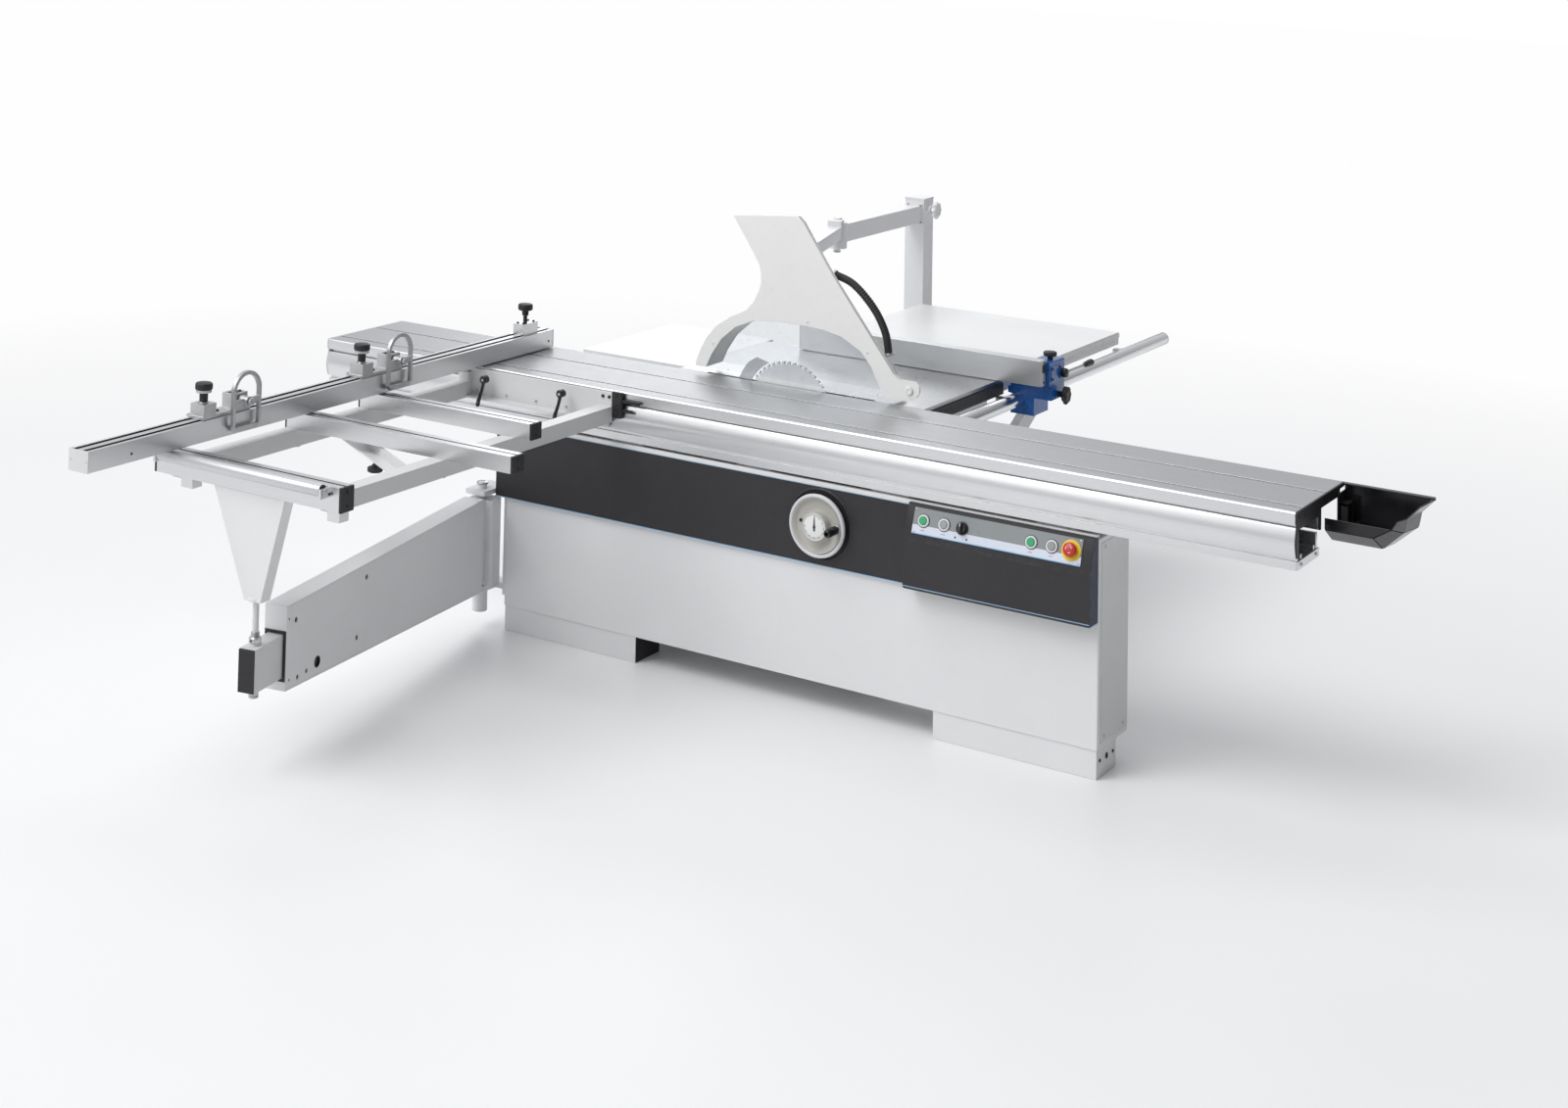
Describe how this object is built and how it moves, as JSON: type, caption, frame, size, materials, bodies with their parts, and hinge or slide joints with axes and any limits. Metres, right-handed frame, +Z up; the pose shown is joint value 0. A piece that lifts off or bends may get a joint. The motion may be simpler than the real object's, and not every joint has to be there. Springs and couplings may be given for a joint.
{
  "type": "sliding-table panel saw",
  "caption": "Panel saw with a long sliding table, outrigger frame with crosscut fence and swing arm, tilting saw unit, overarm guard, rip fence on a round rail and extension tables.",
  "frame": {"origin": "on the floor, at the centre of the four floor anchor holes of the rear base", "axes": "+X along the sliding table towards the infeed end, +Y across the machine towards the rip fence side, +Z up"},
  "size_m": [3.663, 4.123, 1.402],
  "materials": {
    "white_paint": "semi-gloss powder coat",
    "dark_paint": "satin powder coat",
    "blue_paint": "gloss enamel",
    "anodised": "brushed anodised",
    "ground_iron": "ground",
    "grey_iron": "painted casting",
    "steel": "turned",
    "bright_bar": "hard chromed",
    "black_plastic": "moulded",
    "hood_plastic": "moulded",
    "panel": "membrane",
    "dial": "moulded",
    "clear": "clear polycarbonate",
    "hose": "matte",
    "green": "moulded",
    "grey": "moulded",
    "red": "moulded"
  },
  "bodies": {
    "base": {"cabinet": "white_paint", "rear_base": "white_paint", "fascia_band": "dark_paint", "control_housing": "dark_paint", "control_plate": "panel", "beam": "anodised", "main_table": "ground_iron", "table_insert": "steel", "extension_tables": "white_paint", "rip_rail": "bright_bar", "overarm_post": "white_paint", "overarm_arm": "white_paint", "guard_link": "white_paint", "tilt_trunnions": "grey_iron", "swing_post": "white_paint"},
    "table": {"sliding_table": "anodised", "end_caps": "black_plastic", "end_tray": "black_plastic", "outrigger_frame": "white_paint", "support_bars": "anodised", "swing_bracket": "white_paint", "crosscut_fence": "anodised"},
    "carriage": {"roller_carriage": "anodised", "carriage_wheels": "steel"},
    "swing": {"swing_arm": "white_paint"},
    "telescope": {"inner_arm": "white_paint"},
    "roller": {"outrigger_roller": "bright_bar"},
    "lever_1": {"clamp_lever_1": "black_plastic"},
    "lever_2": {"clamp_lever_2": "black_plastic"},
    "knob": {"fence_knob": "black_plastic"},
    "stop_a": {"stop_1": "anodised"},
    "flip_a": {"stop_1_flip": "anodised"},
    "stop_b": {"stop_2": "anodised"},
    "flip_b": {"stop_2_flip": "anodised"},
    "tilt": {"tilt_cradle": "grey_iron"},
    "rise": {"arbor_carrier": "grey_iron", "main_motor": "grey_iron", "riving_knife": "steel"},
    "arbor_spin_body": {"arbor": "steel", "saw_blade": "steel"},
    "rotor": {"motor_pulley": "steel"},
    "screw": {"rise_screw": "steel"},
    "scoring": {"scoring_unit": "grey_iron"},
    "scoring_spin_body": {"scoring_blade": "steel"},
    "wheel": {"handwheel": "grey", "tilt_spindle": "steel", "gravity_dial": "dial"},
    "spinner": {"spinner_handle": "black_plastic"},
    "rip": {"rip_head": "blue_paint"},
    "fence": {"rip_fence": "anodised"},
    "lock": {"rip_lever": "black_plastic"},
    "guard": {"guard_plate": "hood_plastic", "guard_window": "clear", "dust_hose": "hose"},
    "button_green_1_body": {"button_green_1": "green"},
    "button_grey_1_body": {"button_grey_1": "grey"},
    "selector_body": {"selector": "black_plastic"},
    "button_green_2_body": {"button_green_2": "green"},
    "button_grey_2_body": {"button_grey_2": "grey"},
    "estop_body": {"estop": "red"}
  },
  "joints": [
    {"name": "table_slide", "type": "slide", "parent": "base", "child": "table", "axis": [1, 0, 0], "range_m": [-1.6, 1.6]},
    {"name": "carriage_slide", "type": "slide", "parent": "base", "child": "carriage", "axis": [1, 0, 0], "range_m": [-0.8, 0.8]},
    {"name": "swing_hinge", "type": "hinge", "parent": "base", "child": "swing", "pos_m": [-0.9425, -0.595, 0.3], "axis": [0, 0, 1], "range_deg": [-48, 48]},
    {"name": "telescope_slide", "type": "slide", "parent": "swing", "child": "telescope", "axis": [0.1879, -0.9822, 0], "range_m": [-0.03, 0.9]},
    {"name": "roller_spin", "type": "hinge", "parent": "table", "child": "roller", "pos_m": [-0.7075, -2.064, 0.831], "axis": [1, 0, 0], "continuous": true},
    {"name": "clamp_lever_1_turn", "type": "hinge", "parent": "table", "child": "lever_1", "pos_m": [-0.9075, -0.62, 0.822], "axis": [0, 1, 0], "range_deg": [-45, 40]},
    {"name": "clamp_lever_2_turn", "type": "hinge", "parent": "table", "child": "lever_2", "pos_m": [-0.5995, -0.62, 0.822], "axis": [0, 1, 0], "range_deg": [-45, 40]},
    {"name": "fence_knob_turn", "type": "hinge", "parent": "table", "child": "knob", "pos_m": [-0.9845, -0.314, 0.95], "axis": [0, 0, 1], "range_deg": [0, 180]},
    {"name": "stop_1_slide", "type": "slide", "parent": "table", "child": "stop_a", "axis": [0, 1, 0], "range_m": [-0.45, 0.5]},
    {"name": "stop_1_flip_up", "type": "hinge", "parent": "stop_a", "child": "flip_a", "pos_m": [-0.9355, -1.79, 0.946], "axis": [1, 0, 0], "range_deg": [0, 110]},
    {"name": "stop_2_slide", "type": "slide", "parent": "table", "child": "stop_b", "axis": [0, 1, 0], "range_m": [-0.45, 0.6]},
    {"name": "stop_2_flip_up", "type": "hinge", "parent": "stop_b", "child": "flip_b", "pos_m": [-0.9355, -1.068, 0.946], "axis": [1, 0, 0], "range_deg": [0, 110]},
    {"name": "blade_tilt", "type": "hinge", "parent": "base", "child": "tilt", "pos_m": [0.0725, -0.165, 0.849], "axis": [-1, 0, 0], "range_deg": [0, 45]},
    {"name": "blade_rise", "type": "slide", "parent": "tilt", "child": "rise", "axis": [0, 0, 1], "range_m": [-0.085, 0.005]},
    {"name": "arbor_spin", "type": "hinge", "parent": "rise", "child": "arbor_spin_body", "pos_m": [-0.0275, -0.165, 0.77], "axis": [0, 1, 0], "continuous": true},
    {"name": "motor_spin", "type": "hinge", "parent": "rise", "child": "rotor", "pos_m": [0.2325, -0.03, 0.64], "axis": [0, 1, 0], "continuous": true},
    {"name": "rise_screw_turn", "type": "hinge", "parent": "tilt", "child": "screw", "pos_m": [0.0525, -0.075, 0.5], "axis": [0, 0, 1], "range_deg": [-5110, 310]},
    {"name": "scoring_rise", "type": "slide", "parent": "tilt", "child": "scoring", "axis": [0, 0, 1], "range_m": [-0.012, 0.001]},
    {"name": "scoring_spin", "type": "hinge", "parent": "scoring", "child": "scoring_spin_body", "pos_m": [0.2045, -0.165, 0.791], "axis": [0, 1, 0], "continuous": true},
    {"name": "handwheel_turn", "type": "hinge", "parent": "base", "child": "wheel", "pos_m": [0.3185, -0.59, 0.555], "axis": [0, 1, 0], "range_deg": [0, 3610]},
    {"name": "spinner_spin", "type": "hinge", "parent": "wheel", "child": "spinner", "pos_m": [0.3875, -0.635, 0.557], "axis": [0, 1, 0], "continuous": true},
    {"name": "rip_fence_cross_slide", "type": "slide", "parent": "base", "child": "rip", "axis": [0, 1, 0], "range_m": [-0.42, 1]},
    {"name": "rip_fence_length_slide", "type": "slide", "parent": "rip", "child": "fence", "axis": [1, 0, 0], "range_m": [-0.3, 0.2]},
    {"name": "rip_lock_lever_turn", "type": "hinge", "parent": "rip", "child": "lock", "pos_m": [0.6425, 0.5, 0.88], "axis": [1, 0, 0], "range_deg": [0, 60]},
    {"name": "guard_lift", "type": "slide", "parent": "base", "child": "guard", "axis": [0, 0, 1], "range_m": [0, 0.09]},
    {"name": "button_green_1_press", "type": "slide", "parent": "base", "child": "button_green_1_body", "axis": [0, 0.9398, -0.3417], "range_m": [0, 0.004]},
    {"name": "button_grey_1_press", "type": "slide", "parent": "base", "child": "button_grey_1_body", "axis": [0, 0.9398, -0.3417], "range_m": [0, 0.004]},
    {"name": "selector_turn", "type": "hinge", "parent": "base", "child": "selector_body", "pos_m": [0.8025, -0.61438, 0.63821], "axis": [0, -0.9398, 0.3417], "range_deg": [-45, 45]},
    {"name": "button_green_2_press", "type": "slide", "parent": "base", "child": "button_green_2_body", "axis": [0, 0.9398, -0.3417], "range_m": [0, 0.004]},
    {"name": "button_grey_2_press", "type": "slide", "parent": "base", "child": "button_grey_2_body", "axis": [0, 0.9398, -0.3417], "range_m": [0, 0.004]},
    {"name": "estop_press", "type": "slide", "parent": "base", "child": "estop_body", "axis": [0, 0.9398, -0.3417], "range_m": [0, 0.005]}
  ],
  "couplings": [
    {"joint": "carriage_slide", "follows": "table_slide", "ratio": 0.5},
    {"joint": "swing_hinge", "follows": "table_slide", "rad_per_m": 0.5214},
    {"joint": "motor_spin", "follows": "arbor_spin", "ratio": 0.48387},
    {"joint": "rise_screw_turn", "follows": "blade_rise", "rad_per_m": 1047.2},
    {"joint": "handwheel_turn", "follows": "blade_tilt", "ratio": 80}
  ]
}
